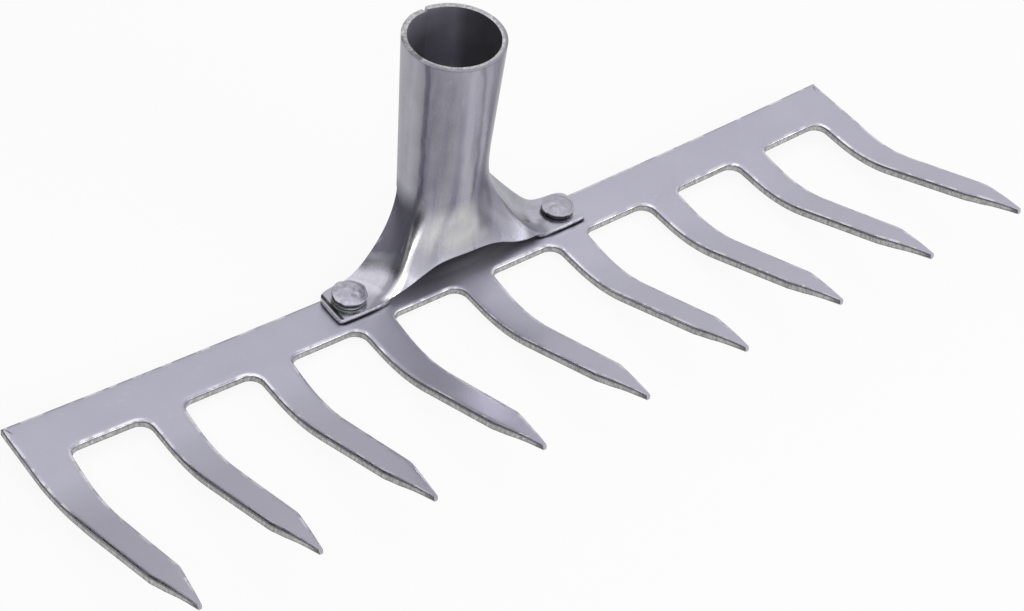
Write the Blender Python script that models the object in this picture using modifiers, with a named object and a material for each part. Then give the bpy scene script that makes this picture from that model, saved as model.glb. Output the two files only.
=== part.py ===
"""Garden rake head: a stamped blade of nine bent tines with a rolled steel socket riveted across its back.

Frame: +X runs along the blade, +Z is up from its face, and the tines point towards -Y.
The origin is the middle of the blade's underside, halfway between the tine roots and the back edge.
"""

import math

import bmesh
import bpy
from mathutils import Matrix, Vector

MM = 0.001

# Clearances between pieces that touch
SEAT_GAP = 0.3 * MM
HOLE_CLEARANCE = 0.3 * MM

# Blade, as the flat blank is punched
BLADE_LENGTH = 350.0 * MM
STRIP_DEPTH = 17.5 * MM
BLADE_THICKNESS = 3.0 * MM
TINE_COUNT = 9
END_OVERHANG = 7.0 * MM
TINE_LENGTH = 100.4 * MM
ROOT_WIDTH = 11.4 * MM
SHOULDER_WIDTH = 9.5 * MM
POINT_WIDTH = 1.4 * MM
TAPER_LENGTH = 23.3 * MM
ROOT_RADIUS = 4.5 * MM
END_STRAIGHT = 9.0 * MM
END_TAPER = 22.0 * MM

# Blade, as the press bends it
BEND_START = 12.5 * MM
BEND_LENGTH = 25.5 * MM
BEND_ANGLE = math.radians(23.2)
POINT_BEND_LENGTH = 24.6 * MM
POINT_BEND_ANGLE = math.radians(10.2)
BOW_RISE = 3.9 * MM

# Handle socket
SHEET_THICKNESS = 2.0 * MM
RIM_RADIUS = 18.25 * MM
SOCKET_HEIGHT = 92.2 * MM
RIM_TRIM = 0.8 * MM
SOCKET_TAPER = 0.042
SOCKET_AXIS_Y = 15.0 * MM
SEAM_GAP = 0.8 * MM
ROUND_BOTTOM = 40.0 * MM
NOTCH_HEIGHT = 29.0 * MM
NOTCH_ANGLE = math.radians(101.0)
NOTCH_SWELL = 0.05
RIDGE_ANGLE = math.radians(60.0)
RIDGE_SWELL = 0.12
RIDGE_BULGE = 2.4 * MM
RIDGE_SHARPNESS = 0.8
BACK_CUT_HEIGHT = 21.0 * MM
# How sharply a wing falls and sweeps back on its way out, at its front and at its back
WING_FALL = (3.0, 1.2)
WING_SWEEP = (1.6, 3.4)

# Socket foot: the arch between the ears, how steeply it rises and its panel flares, and the ears
ARCH_RISE = 12.0 * MM
ARCH_FOOT = 1.4 * MM
ARCH_SET_BACK = -0.3 * MM
ARCH_CURVE = 1.6
ARCH_FLARE = 0.65
EAR_REACH = 53.4 * MM
EAR_FRONT_LENGTH = 17.4 * MM
EAR_BACK_LENGTH = 13.9 * MM
EAR_ROOT_CURVE = 4.0
EAR_DEPTH = 16.0 * MM
EAR_CENTRE_Y = 2.8 * MM
EAR_ROOT_TAPER = 0.8 * MM
EAR_CORNER = 4.0 * MM
EAR_FRONT_CORNER = 1.6 * MM

# Rivets
RIVET_SET_IN = 7.7 * MM
RIVET_SHANK_RADIUS = 3.0 * MM
RIVET_HEAD_RADIUS = 6.0 * MM
RIVET_HEAD_HEIGHT = 3.2 * MM
RIVET_HEAD_EDGE = 2.4 * MM
RIVET_TAIL_RADIUS = 4.6 * MM
RIVET_TAIL_HEIGHT = 1.5 * MM

# Worked out from the sizes above
TINE_PITCH = (BLADE_LENGTH - 2 * END_OVERHANG) / (TINE_COUNT - 1)
ROOT_Y = -STRIP_DEPTH / 2
BACK_Y = STRIP_DEPTH / 2
FACET_HALF_WIDTH = ROOT_WIDTH / 2 + ROOT_RADIUS + 0.5 * MM
EAR_BOTTOM = BLADE_THICKNESS + SEAT_GAP
EAR_TOP = EAR_BOTTOM + SHEET_THICKNESS
EAR_FRONT_ROOT = EAR_REACH - EAR_FRONT_LENGTH
EAR_BACK_ROOT = EAR_REACH - EAR_BACK_LENGTH
RIVET_X = EAR_REACH - RIVET_SET_IN
HOLE_RADIUS = RIVET_SHANK_RADIUS + HOLE_CLEARANCE

# Mesh fineness
ROOT_ARC_STEPS = 4
BEND_STEPS = 6
POINT_BEND_STEPS = 4
TURN_STEPS = 32
DOME_STEPS = 6
TUBE_COLUMNS = 10
TUBE_ROWS = (0.0, 0.35, 0.7, 1.0)
FRONT_COLUMNS = (0.0, 0.38, 0.72, 1.0)
WING_COLUMNS = (1 / 3, 2 / 3, 1.0)
WING_ROWS = (0.15, 0.32, 0.52, 0.75, 1.0)
ARCH_ROWS = 4
WELD_DISTANCE = 0.00001

STEEL = {
    "blade_steel": ((0.45, 0.44, 0.52), 0.36),
    "socket_steel": ((0.43, 0.42, 0.48), 0.28),
    "rivet_steel": ((0.42, 0.41, 0.47), 0.42),
}


def clear_objects():
    for item in list(bpy.data.objects):
        bpy.data.objects.remove(item, do_unlink=True)


def new_collection(name):
    collection = bpy.data.collections.new(name)
    bpy.context.scene.collection.children.link(collection)
    return collection


def steel(name):
    colour, roughness = STEEL[name]
    material = bpy.data.materials.new(name)
    material.use_nodes = True
    shader = material.node_tree.nodes["Principled BSDF"]
    shader.inputs["Base Color"].default_value = (*colour, 1.0)
    shader.inputs["Metallic"].default_value = 1.0
    shader.inputs["Roughness"].default_value = roughness
    return material


def add_part(name, mesh, collection, material, parent):
    part = bpy.data.objects.new(name, mesh)
    collection.objects.link(part)
    part.parent = parent
    if not mesh.materials:
        mesh.materials.append(material)
    return part


def mix(start, end, share):
    return start + (end - start) * share


# The blade's shape


def smooth_rise(x):
    """Height that the bowed blade gains at a distance from its middle, which stays flat."""
    reach = max(abs(x) - FACET_HALF_WIDTH, 0.0) / (BLADE_LENGTH / 2 - FACET_HALF_WIDTH)
    return BOW_RISE * reach**2


def bow_rise(x):
    """The same rise in flat facets, one for each tine and one for each gap."""
    tine = round(x / TINE_PITCH) * TINE_PITCH
    side = math.copysign(1.0, x - tine)
    if abs(x - tine) <= FACET_HALF_WIDTH:
        start, end = tine - FACET_HALF_WIDTH, tine + FACET_HALF_WIDTH
    else:
        start, end = tine + side * FACET_HALF_WIDTH, tine + side * (TINE_PITCH - FACET_HALF_WIDTH)
    return mix(smooth_rise(start), smooth_rise(end), (x - start) / (end - start))


def formed(distance):
    """How far forward and up the tine's top face has run, and its slope, this far along from the root."""
    straight = TINE_LENGTH - BEND_START - BEND_LENGTH - POINT_BEND_LENGTH
    stretches = (
        (BEND_START, 0.0),
        (BEND_LENGTH, BEND_ANGLE),
        (straight, 0.0),
        (POINT_BEND_LENGTH, -POINT_BEND_ANGLE),
    )
    forward = min(distance, 0.0)
    up = 0.0
    slope = 0.0
    left = max(distance, 0.0)
    for length, turn in stretches:
        step = min(left, length)
        end_slope = slope + turn * step / length
        if turn:
            radius = length / turn
            forward += radius * (math.sin(end_slope) - math.sin(slope))
            up += radius * (math.cos(slope) - math.cos(end_slope))
        else:
            forward += step * math.cos(slope)
            up += step * math.sin(slope)
        slope = end_slope
        left -= step
    return forward, up, slope


def blank_outline():
    """Corners of the flat blank from its left end to its right end, with an arc in each corner of each gap."""
    tip_y = ROOT_Y - TINE_LENGTH
    shoulder_y = tip_y + TAPER_LENGTH
    outline = [(-BLADE_LENGTH / 2, BACK_Y), (-BLADE_LENGTH / 2, ROOT_Y - END_STRAIGHT)]
    for number in range(TINE_COUNT):
        x = (number - (TINE_COUNT - 1) / 2) * TINE_PITCH
        if number:
            outline += root_arc(x - ROOT_WIDTH / 2 - ROOT_RADIUS, 90.0, 0.0)
        else:
            outline.append((x - end_tine_half_width(), ROOT_Y - END_STRAIGHT - END_TAPER))
        outline += [
            (x - SHOULDER_WIDTH / 2, shoulder_y),
            (x - POINT_WIDTH / 2, tip_y),
            (x + POINT_WIDTH / 2, tip_y),
            (x + SHOULDER_WIDTH / 2, shoulder_y),
        ]
        if number < TINE_COUNT - 1:
            outline += root_arc(x + ROOT_WIDTH / 2 + ROOT_RADIUS, 180.0, 90.0)
        else:
            outline.append((x + end_tine_half_width(), ROOT_Y - END_STRAIGHT - END_TAPER))
    outline += [(BLADE_LENGTH / 2, ROOT_Y - END_STRAIGHT), (BLADE_LENGTH / 2, BACK_Y)]
    return outline


def end_tine_half_width():
    """Half the width of an end tine where the blank's wider end has tapered into it."""
    share = (END_STRAIGHT + END_TAPER) / (TINE_LENGTH - TAPER_LENGTH)
    return mix(ROOT_WIDTH, SHOULDER_WIDTH, share) / 2


def root_arc(centre_x, start, end):
    angles = [math.radians(mix(start, end, i / ROOT_ARC_STEPS)) for i in range(ROOT_ARC_STEPS + 1)]
    centre_y = ROOT_Y - ROOT_RADIUS
    return [(centre_x + ROOT_RADIUS * math.cos(a), centre_y + ROOT_RADIUS * math.sin(a)) for a in angles]


def blank_mesh(collection):
    """The punched blank as a filled flat curve, made a mesh."""
    curve = bpy.data.curves.new("tine_blade", "CURVE")
    curve.dimensions = "2D"
    curve.fill_mode = "BOTH"
    curve.extrude = BLADE_THICKNESS / 2
    outline = blank_outline()
    spline = curve.splines.new("POLY")
    spline.points.add(len(outline) - 1)
    for point, (x, y) in zip(spline.points, outline):
        point.co = (x, y, 0.0, 1.0)
    spline.use_cyclic_u = True
    drawn = bpy.data.objects.new("blank", curve)
    collection.objects.link(drawn)
    evaluated = drawn.evaluated_get(bpy.context.evaluated_depsgraph_get())
    mesh = bpy.data.meshes.new_from_object(evaluated)
    bpy.data.objects.remove(drawn)
    mesh.transform(Matrix.Translation((0.0, 0.0, BLADE_THICKNESS / 2)))
    return mesh


def bend_rows():
    """Distances along a tine at which the blank is cut across, so that it can bend."""
    rows = [BEND_START + BEND_LENGTH * i / BEND_STEPS for i in range(BEND_STEPS + 1)]
    point_bend = TINE_LENGTH - POINT_BEND_LENGTH
    rows += [point_bend + POINT_BEND_LENGTH * i / POINT_BEND_STEPS for i in range(POINT_BEND_STEPS)]
    return rows


def facet_edges():
    """Places along the blade where its bow turns from a tine's facet to a gap's."""
    edges = []
    for number in range(TINE_COUNT - 1):
        x = (number - (TINE_COUNT - 1) / 2) * TINE_PITCH
        edges += [x + FACET_HALF_WIDTH, x + TINE_PITCH - FACET_HALF_WIDTH]
    return edges


def slice_across(shape, place, normal):
    geometry = shape.verts[:] + shape.edges[:] + shape.faces[:]
    bmesh.ops.bisect_plane(shape, geom=geometry, dist=WELD_DISTANCE / 10, plane_co=place, plane_no=normal)


def make_blade(parts, cutters, parent):
    mesh = blank_mesh(cutters)
    shape = bmesh.new()
    shape.from_mesh(mesh)
    bmesh.ops.remove_doubles(shape, verts=shape.verts, dist=WELD_DISTANCE)
    for distance in bend_rows():
        slice_across(shape, (0.0, ROOT_Y - distance, 0.0), (0.0, 1.0, 0.0))
    for x in facet_edges():
        slice_across(shape, (x, 0.0, 0.0), (1.0, 0.0, 0.0))
    for vert in shape.verts:
        forward, up, slope = formed(ROOT_Y - vert.co.y)
        depth = BLADE_THICKNESS - vert.co.z
        vert.co.y = ROOT_Y - forward - depth * math.sin(slope)
        vert.co.z = BLADE_THICKNESS + up - depth * math.cos(slope) + bow_rise(vert.co.x)
    bmesh.ops.recalc_face_normals(shape, faces=shape.faces)
    shape.to_mesh(mesh)
    shape.free()
    return add_part("tine_blade", mesh, parts, steel("blade_steel"), parent)


# The socket's shape


def tube_radius(height):
    """Outer radius of the tapered tube at a height above the blade's face."""
    return RIM_RADIUS - SOCKET_TAPER * (SOCKET_HEIGHT - height)


def tube_point(angle, height, swell=0.0):
    """A point on the tube, its angle counted from the front, its height from the blade's face."""
    radius = tube_radius(height) * (1.0 + swell)
    place = (radius * math.sin(angle), SOCKET_AXIS_Y - radius * math.cos(angle), BLADE_THICKNESS + height)
    return Vector(place)


def seam_point(height):
    point = tube_point(math.pi, height)
    point.x = SEAM_GAP / 2
    return point


def tube_rows():
    """Rings of the round part, from the rim down to where the foot starts to form."""
    heights = [mix(SOCKET_HEIGHT, ROUND_BOTTOM, share) for share in TUBE_ROWS]
    heights[0] += RIM_TRIM
    rows = []
    for height in heights:
        angles = [math.pi * i / TUBE_COLUMNS for i in range(TUBE_COLUMNS)]
        rows.append([tube_point(angle, height) for angle in angles] + [seam_point(height)])
    return rows


def front_angles():
    return [RIDGE_ANGLE * share for share in FRONT_COLUMNS]


def wing_angles():
    return [mix(RIDGE_ANGLE, NOTCH_ANGLE, share) for share in WING_COLUMNS]


def notch_row():
    """The row where the wings leave the tube, and along its back the tube's own cut lower edge."""
    row = []
    for angle in front_angles() + wing_angles():
        if angle <= RIDGE_ANGLE:
            swell = RIDGE_SWELL * (angle / RIDGE_ANGLE) ** 2
        else:
            share = (NOTCH_ANGLE - angle) / (NOTCH_ANGLE - RIDGE_ANGLE)
            swell = mix(NOTCH_SWELL, RIDGE_SWELL, share**1.5)
        row.append(tube_point(angle, NOTCH_HEIGHT, swell))
    back_columns = TUBE_COLUMNS + 1 - len(row)
    for i in range(1, back_columns):
        share = i / back_columns
        drop = (NOTCH_HEIGHT - BACK_CUT_HEIGHT) * math.sin(share * math.pi / 2)
        row.append(tube_point(mix(NOTCH_ANGLE, math.pi, share), NOTCH_HEIGHT - drop))
    row.append(seam_point(BACK_CUT_HEIGHT))
    return row


def wing_column(top, share):
    """A run of points down a wing from the tube to the ear's end; share is 0 at the front, 1 at the back."""
    front_y = EAR_CENTRE_Y - EAR_DEPTH / 2
    root = Vector((mix(EAR_FRONT_ROOT, EAR_BACK_ROOT, share**EAR_ROOT_CURVE), 0.0, EAR_TOP))
    root.y = mix(front_y + EAR_ROOT_TAPER, front_y + EAR_DEPTH, share)
    fall_power = mix(*WING_FALL, share)
    sweep_power = mix(*WING_SWEEP, share)
    column = []
    for along in WING_ROWS:
        left = 1.0 - along
        x = mix(top.x, root.x, along) + RIDGE_BULGE * (1.0 - share) ** 2 * math.sin(math.pi * along)
        y = root.y + (top.y - root.y) * left**sweep_power
        z = root.z + (top.z - root.z) * left**fall_power
        column.append(Vector((x, y, z + smooth_rise(x))))
    corner = mix(EAR_FRONT_CORNER, EAR_CORNER, share)
    column.append(Vector((EAR_REACH - corner, front_y + EAR_DEPTH * share, 0.0)))
    end_y = mix(front_y + EAR_FRONT_CORNER / 2, front_y + EAR_DEPTH - EAR_CORNER / 2, share)
    column.append(Vector((EAR_REACH, end_y, 0.0)))
    for point in column[-2:]:
        point.z = EAR_TOP + smooth_rise(point.x)
    return column


def front_column(top, share, ridge):
    """A run of points down the socket's front to the arch, level with the first points of the ridge."""
    corner = ridge[-1]
    edge = Vector((corner.x * share, corner.y + ARCH_SET_BACK * (1.0 - share**3), BLADE_THICKNESS))
    edge.z += mix(ARCH_FOOT, ARCH_RISE, math.cos(share * math.pi / 2) ** ARCH_CURVE)
    ridge_top = BLADE_THICKNESS + NOTCH_HEIGHT
    column = []
    for point in ridge:
        left = (point.z - corner.z) / (ridge_top - corner.z)
        y = mix(edge.y, top.y, left ** mix(ARCH_FLARE, 1.0, share))
        column.append(Vector((mix(edge.x, top.x, left), y, mix(edge.z, top.z, left))))
    return column


def make_socket(parts, parent):
    """The sheet's outer face as a coarse half cage, mirrored, smoothed and given its thickness."""
    shape = bmesh.new()
    crease = shape.verts.layers.float.new("crease_vert")
    fold = shape.edges.layers.float.new("crease_edge")
    rows = tube_rows() + [notch_row()]
    ridge_index = len(front_angles()) - 1
    notch_index = ridge_index + len(wing_angles())
    grid = [[shape.verts.new(point) for point in row] for row in rows]
    join_rows(shape, grid)

    wing_tops = rows[-1][ridge_index : notch_index + 1]
    wings = [wing_column(top, i / (len(wing_tops) - 1)) for i, top in enumerate(wing_tops)]
    wing_grid = [grid[-1][ridge_index : notch_index + 1]]
    wing_grid += [[shape.verts.new(column[i]) for column in wings] for i in range(len(wings[0]))]
    join_rows(shape, wing_grid)

    shares = [angle / RIDGE_ANGLE for angle in front_angles()[:-1]]
    fronts = [front_column(rows[-1][i], share, wings[0][:ARCH_ROWS]) for i, share in enumerate(shares)]
    front_grid = [grid[-1][: ridge_index + 1]]
    for i in range(ARCH_ROWS):
        front_grid.append([shape.verts.new(column[i]) for column in fronts] + [wing_grid[i + 1][0]])
    join_rows(shape, front_grid)

    for corner in (grid[0][-1], grid[-1][-1]):
        corner[crease] = 1.0
    ridge = [row[0] for row in wing_grid[:ARCH_ROWS]]
    for i, (upper, lower) in enumerate(zip(ridge, ridge[1:])):
        shape.edges.get((upper, lower))[fold] = RIDGE_SHARPNESS * (1.0 - i / ARCH_ROWS)
    mesh = bpy.data.meshes.new("handle_socket")
    shape.to_mesh(mesh)
    shape.free()
    mesh.shade_smooth()
    socket = add_part("handle_socket", mesh, parts, steel("socket_steel"), parent)
    mirror = socket.modifiers.new("other_half", "MIRROR")
    mirror.merge_threshold = 0.0001
    smooth = socket.modifiers.new("rolled_form", "SUBSURF")
    smooth.levels = 1
    smooth.render_levels = 1
    sheet = socket.modifiers.new("sheet", "SOLIDIFY")
    sheet.thickness = SHEET_THICKNESS
    sheet.offset = -1.0
    sheet.use_even_offset = True
    return socket


def join_rows(shape, grid):
    """Faces between neighbouring rows of points, facing out of the socket."""
    for upper, lower in zip(grid, grid[1:]):
        for i in range(len(upper) - 1):
            shape.faces.new((upper[i], lower[i], lower[i + 1], upper[i + 1]))


# Rivets and their holes


def dome(radius, height, base, steps, upward):
    """Points of a shallow dome's profile, from its middle out to its edge or back again."""
    curve_radius = (radius**2 + height**2) / (2 * height)
    half_angle = math.asin(radius / curve_radius)
    points = []
    for i in range(steps + 1):
        angle = half_angle * i / steps
        rise = curve_radius * math.cos(angle) - (curve_radius - height)
        points.append((curve_radius * math.sin(angle), base + upward * rise))
    return points


def rivet_mesh():
    """Head, shank and formed tail in one turned profile, measured from the blade's face under the ear."""
    head_seat = SEAT_GAP + SHEET_THICKNESS + SEAT_GAP
    tail_seat = -BLADE_THICKNESS - SEAT_GAP
    dome_height = RIVET_HEAD_HEIGHT - RIVET_HEAD_EDGE
    profile = dome(RIVET_HEAD_RADIUS, dome_height, head_seat + RIVET_HEAD_EDGE, DOME_STEPS, 1.0)
    profile += [(RIVET_HEAD_RADIUS, head_seat), (RIVET_SHANK_RADIUS, head_seat)]
    profile += [(RIVET_SHANK_RADIUS, tail_seat), (RIVET_TAIL_RADIUS, tail_seat)]
    profile += dome(RIVET_TAIL_RADIUS, RIVET_TAIL_HEIGHT, tail_seat, DOME_STEPS, -1.0)[-2::-1]
    mesh = bpy.data.meshes.new("rivet")
    edges = [(i, i + 1) for i in range(len(profile) - 1)]
    mesh.from_pydata([(x, 0.0, z) for x, z in profile], edges, [])
    return mesh


def make_rivet(name, side, mesh, parts, material, parent):
    rivet = add_part(name, mesh, parts, material, parent)
    rivet.location = (side * RIVET_X, EAR_CENTRE_Y, BLADE_THICKNESS + bow_rise(RIVET_X))
    turn = rivet.modifiers.new("turned", "SCREW")
    turn.steps = TURN_STEPS
    turn.render_steps = TURN_STEPS
    turn.merge_threshold = 0.0001
    turn.use_merge_vertices = True
    turn.use_smooth_shade = True
    return rivet


def cut_away(cutter, name, pieces, cutters):
    """Files a new primitive among the cutters and takes it out of each piece."""
    cutter.name = name
    for collection in list(cutter.users_collection):
        collection.objects.unlink(cutter)
    cutters.objects.link(cutter)
    cutter.hide_render = True
    cutter.display_type = "WIRE"
    for piece in pieces:
        cut = piece.modifiers.new(name, "BOOLEAN")
        cut.operation = "DIFFERENCE"
        cut.object = cutter


def cut_rivet_hole(name, side, pieces, cutters):
    """One drill right through the ear and the blade."""
    length = 4 * (BLADE_THICKNESS + SHEET_THICKNESS)
    place = (side * RIVET_X, EAR_CENTRE_Y, BLADE_THICKNESS)
    bpy.ops.mesh.primitive_cylinder_add(vertices=TURN_STEPS, radius=HOLE_RADIUS, depth=length, location=place)
    cut_away(bpy.context.object, name, pieces, cutters)


def trim_rim(socket, cutters):
    """The rolled sheet's end is cut off flat, so that the rim is square to the socket's axis."""
    size = 3 * RIM_RADIUS
    place = (0.0, SOCKET_AXIS_Y, BLADE_THICKNESS + SOCKET_HEIGHT + size / 2)
    bpy.ops.mesh.primitive_cube_add(size=size, location=place)
    cut_away(bpy.context.object, "rim_trim", (socket,), cutters)


def main():
    clear_objects()
    parts = new_collection("garden_rake_head")
    cutters = new_collection("cutters")
    frame = bpy.data.objects.new("rake_head_frame", None)
    parts.objects.link(frame)
    blade = make_blade(parts, cutters, frame)
    socket = make_socket(parts, frame)
    trim_rim(socket, cutters)
    rivet_shape = rivet_mesh()
    rivet_material = steel("rivet_steel")
    for side_name, side in (("left", -1.0), ("right", 1.0)):
        make_rivet("rivet_" + side_name, side, rivet_shape, parts, rivet_material, frame)
        cut_rivet_hole("drill_" + side_name, side, (blade, socket), cutters)


main()
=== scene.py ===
import math

import bmesh
import bpy
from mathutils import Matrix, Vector


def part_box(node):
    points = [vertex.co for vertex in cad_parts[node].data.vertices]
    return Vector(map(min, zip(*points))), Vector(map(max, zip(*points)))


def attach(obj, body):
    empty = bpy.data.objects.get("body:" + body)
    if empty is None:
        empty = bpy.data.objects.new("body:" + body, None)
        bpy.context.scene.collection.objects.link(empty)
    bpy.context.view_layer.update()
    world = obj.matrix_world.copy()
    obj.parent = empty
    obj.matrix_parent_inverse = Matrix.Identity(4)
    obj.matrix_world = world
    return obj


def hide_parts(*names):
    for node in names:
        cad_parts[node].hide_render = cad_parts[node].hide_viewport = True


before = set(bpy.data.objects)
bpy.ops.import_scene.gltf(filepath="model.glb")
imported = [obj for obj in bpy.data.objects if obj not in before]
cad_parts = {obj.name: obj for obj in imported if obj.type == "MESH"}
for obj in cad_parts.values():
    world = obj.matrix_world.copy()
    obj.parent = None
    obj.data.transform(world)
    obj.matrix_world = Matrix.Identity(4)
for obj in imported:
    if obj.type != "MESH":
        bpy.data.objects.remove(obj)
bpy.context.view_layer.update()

MM = 0.001

# Sizes of the flat blank, as the solids have them
TINE_COUNT = 9
TINE_PITCH = 42.0 * MM
END_OVERHANG = 7.0 * MM
STRIP_DEPTH = 17.5 * MM
BLADE_THICKNESS = 3.0 * MM
TINE_LENGTH = 100.4 * MM
ROOT_WIDTH = 11.4 * MM
SHOULDER_WIDTH = 9.5 * MM
POINT_WIDTH = 1.2 * MM
TAPER_LENGTH = 23.3 * MM
END_STRAIGHT = 9.0 * MM
END_TAPER = 22.0 * MM

# Sizes of the press bends
BEND_START = 12.5 * MM
BEND_LENGTH = 25.5 * MM
BEND_ANGLE = math.radians(23.2)
POINT_BEND_LENGTH = 24.6 * MM
POINT_BEND_ANGLE = math.radians(10.2)
BOW_RISE = 3.9 * MM
BOW_FLAT = 10.7 * MM

# The die's wear: a tine is wider on its right than on its left, and the root there is sharper
RIGHT_SWELL = 0.5 * MM
RIGHT_ROOT_SWELL = 1.5 * MM
ROOT_SWELL_LENGTH = 17.0 * MM
RIGHT_TAPER_LENGTH = 22.0 * MM
RIGHT_ROOT_RADIUS = 3.8 * MM
LEFT_ROOT_RADIUS = 5.2 * MM
BACK_SWELL = 0.35 * MM
FAN_OUT = 0.5 * MM

# The punched edge in section, from the top face down; its roll shrinks where a tine has too little room
EDGE_ROLL = 1.6 * MM
EDGE_DROP = 0.5 * MM
EDGE_BURNISH = 1.2 * MM
EDGE_FLARE = 0.15 * MM
ROLL_ROOM = 2.2 * EDGE_ROLL
POINT_THICKNESS = 2.0 * MM
POINT_THIN_LENGTH = 16.0 * MM
POINT_THIN_POWER = 1.4

# Sizes of the handle socket
SHEET_THICKNESS = 2.0 * MM
RIM_RADIUS = 18.25 * MM
SOCKET_HEIGHT = 92.2 * MM
SOCKET_TAPER = 0.042
SOCKET_AXIS_Y = 15.0 * MM
SEAM_NOTCH = 1.5 * MM
SEAM_STEP = 0.8 * MM
SEAM_GAP = 0.16 * MM
ROUND_BOTTOM = 40.0 * MM
NOTCH_HEIGHT = 29.0 * MM
NOTCH_ANGLE = math.radians(101.0)
NOTCH_SWELL = 0.05
RIDGE_ANGLE = math.radians(60.0)
RIDGE_SWELL = 0.12
RIDGE_BULGE = 2.4 * MM
RIDGE_SHARPNESS = (0.15, 0.45, 0.8, 0.85)
BACK_CUT_HEIGHT = 21.0 * MM
WING_FALL = (2.8, 1.1)
WING_SWEEP = (2.4, 3.4)
ARCH_SET_BACK = 0.55 * MM
ARCH_FLARE = 0.65
WORN_EDGE = 0.45 * MM

# Heights of the arch's edge above the blade's face, from its middle out; the left half is drawn up further
ARCH_RIGHT_EDGE = (8.3 * MM, 9.0 * MM, 2.0 * MM)
ARCH_LEFT_EDGE = (8.3 * MM, 10.4 * MM, 4.3 * MM)

# Sizes of the ears
EAR_REACH = 53.4 * MM
EAR_FRONT_ROOT = 36.0 * MM
EAR_BACK_ROOT = 39.5 * MM
EAR_ROOT_CURVE = 4.0
EAR_DEPTH = 16.0 * MM
EAR_CENTRE_Y = 2.8 * MM
EAR_CORNER = 4.0 * MM
EAR_FRONT_CORNER = 1.6 * MM
SEAT_GAP = 0.3 * MM

# Sizes of the rivets
RIVET_LEFT_X = 44.7 * MM
RIVET_RIGHT_X = 45.7 * MM
RIVET_SHANK_RADIUS = 3.0 * MM
RIVET_LEFT_RADIUS = 6.3 * MM
RIVET_RIGHT_RADIUS = 6.0 * MM
RIVET_DOME = 0.75 * MM
RIVET_LEFT_EDGE = 2.8 * MM
RIVET_RIGHT_EDGE = 1.8 * MM
RIVET_LEFT_SEED = 2.3
RIVET_RIGHT_SEED = 7.1
RIVET_TAIL_RADIUS = 4.6 * MM
RIVET_TAIL_HEIGHT = 1.5 * MM
RIVET_SOFT_EDGE = 0.25 * MM
RIVET_SIDE = ((0.7, 0.1 * MM), (0.45, 0.3 * MM), (0.2, 0.35 * MM), (0.0, 0.3 * MM))
RIVET_SIDE_START = (0.15 * MM, 0.4 * MM)
DENT_DEPTH = 1.3 * MM
DENT_SCALE = 330.0
DENT_LEVEL = 0.62
RIM_WOBBLE = 0.3
MOST_SPREAD = 0.02

# Worked out from the sizes above
ROOT_Y = -STRIP_DEPTH / 2
BACK_Y = STRIP_DEPTH / 2 + BACK_SWELL
HALF_SPAN = TINE_PITCH * (TINE_COUNT - 1) / 2
HALF_BLADE = HALF_SPAN + END_OVERHANG
EAR_TOP = BLADE_THICKNESS + SEAT_GAP + SHEET_THICKNESS
EAR_FRONT_Y = EAR_CENTRE_Y - EAR_DEPTH / 2

# How finely the shapes are drawn, and how near points are that are really one
OUTLINE_STEP = 2.2 * MM
TAPER_MARGIN = 1.5 * MM
OFF_MIDDLE = 0.02 * MM
ROLL_TURNS = (0.0, 22.5, 45.0, 67.5, 90.0)
TAPER_SHARES = (-0.02, 0.02, 0.1, 0.2, 0.3, 0.4, 0.5, 0.6, 0.7, 0.8, 0.88, 0.94, 0.98)
ROUND_TURNS = tuple(math.radians(angle) for angle in (0, 12, 24, 36, 48, 60, 72, 82))
STRIP_SHARES = (0.25, 0.45, 0.65, 0.85)
GAP_SHARES = (0.0, 0.33, 0.66, 1.0)
TUBE_COLUMNS = 10
TUBE_ROWS = (0.0, 0.06, 0.35, 0.7, 1.0)
FRONT_COLUMNS = (0.0, 0.38, 0.72, 1.0)
WING_COLUMNS = (1 / 3, 2 / 3, 1.0)
WING_ROWS = (0.15, 0.32, 0.52, 0.75, 1.0)
ARCH_ROWS = 4
RIVET_TURNS = 64
DOME_STEPS = 10
TAIL_STEPS = 8
SOFT_EDGE_TURNS = (30, 60, 90)
SAME_POINT = 0.01 * MM
SAME_CAGE_POINT = 0.1 * MM
SHARP_ANGLE = math.radians(35)
WORN_ANGLE = math.radians(50)
WORN_STEPS = 3
ROUNDING_LEVELS = 3


def mix(start, end, share):
    return start + (end - start) * share


def clamp(value, low=0.0, high=1.0):
    return max(low, min(high, value))


# Node trees


class Value:
    """What a node puts out; a sum written with it adds Math nodes to its tree."""

    def __init__(self, socket):
        self.socket = socket
        self.tree = socket.id_data

    def __add__(self, other):
        return calc("ADD", self, other)

    def __sub__(self, other):
        return calc("SUBTRACT", self, other)

    def __rsub__(self, other):
        return calc("SUBTRACT", other, self)

    def __mul__(self, other):
        return calc("MULTIPLY", self, other)

    def __truediv__(self, other):
        return calc("DIVIDE", self, other)

    def __pow__(self, other):
        return calc("POWER", self, other)

    def __abs__(self):
        return calc("ABSOLUTE", self)

    def ramp(self, low, high, start=0.0, end=1.0):
        """Goes from start to end while the value goes from low to high, and holds still beyond them."""
        return put(self.tree, "ShaderNodeMapRange", dict(enumerate((self, low, high, start, end))))

    def band(self, none, full, still_full, none_again):
        """One from full to still_full, fading to none at the two outer places."""
        return self.ramp(none, full) * self.ramp(none_again, still_full)


def plug(socket, value):
    """Joins a node's input to what another node puts out, or gives it a plain value."""
    if isinstance(value, Value):
        value.tree.links.new(value.socket, socket)
    else:
        socket.default_value = value


def put(tree, kind, inputs=None, output=0, **settings):
    """Adds a node with its inputs by name or number, and hands back one thing that it puts out."""
    node = tree.nodes.new(kind)
    for name, value in settings.items():
        setattr(node, name, value)
    for name, value in (inputs or {}).items():
        plug(node.inputs[name], value)
    return Value(node.outputs[output])


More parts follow.
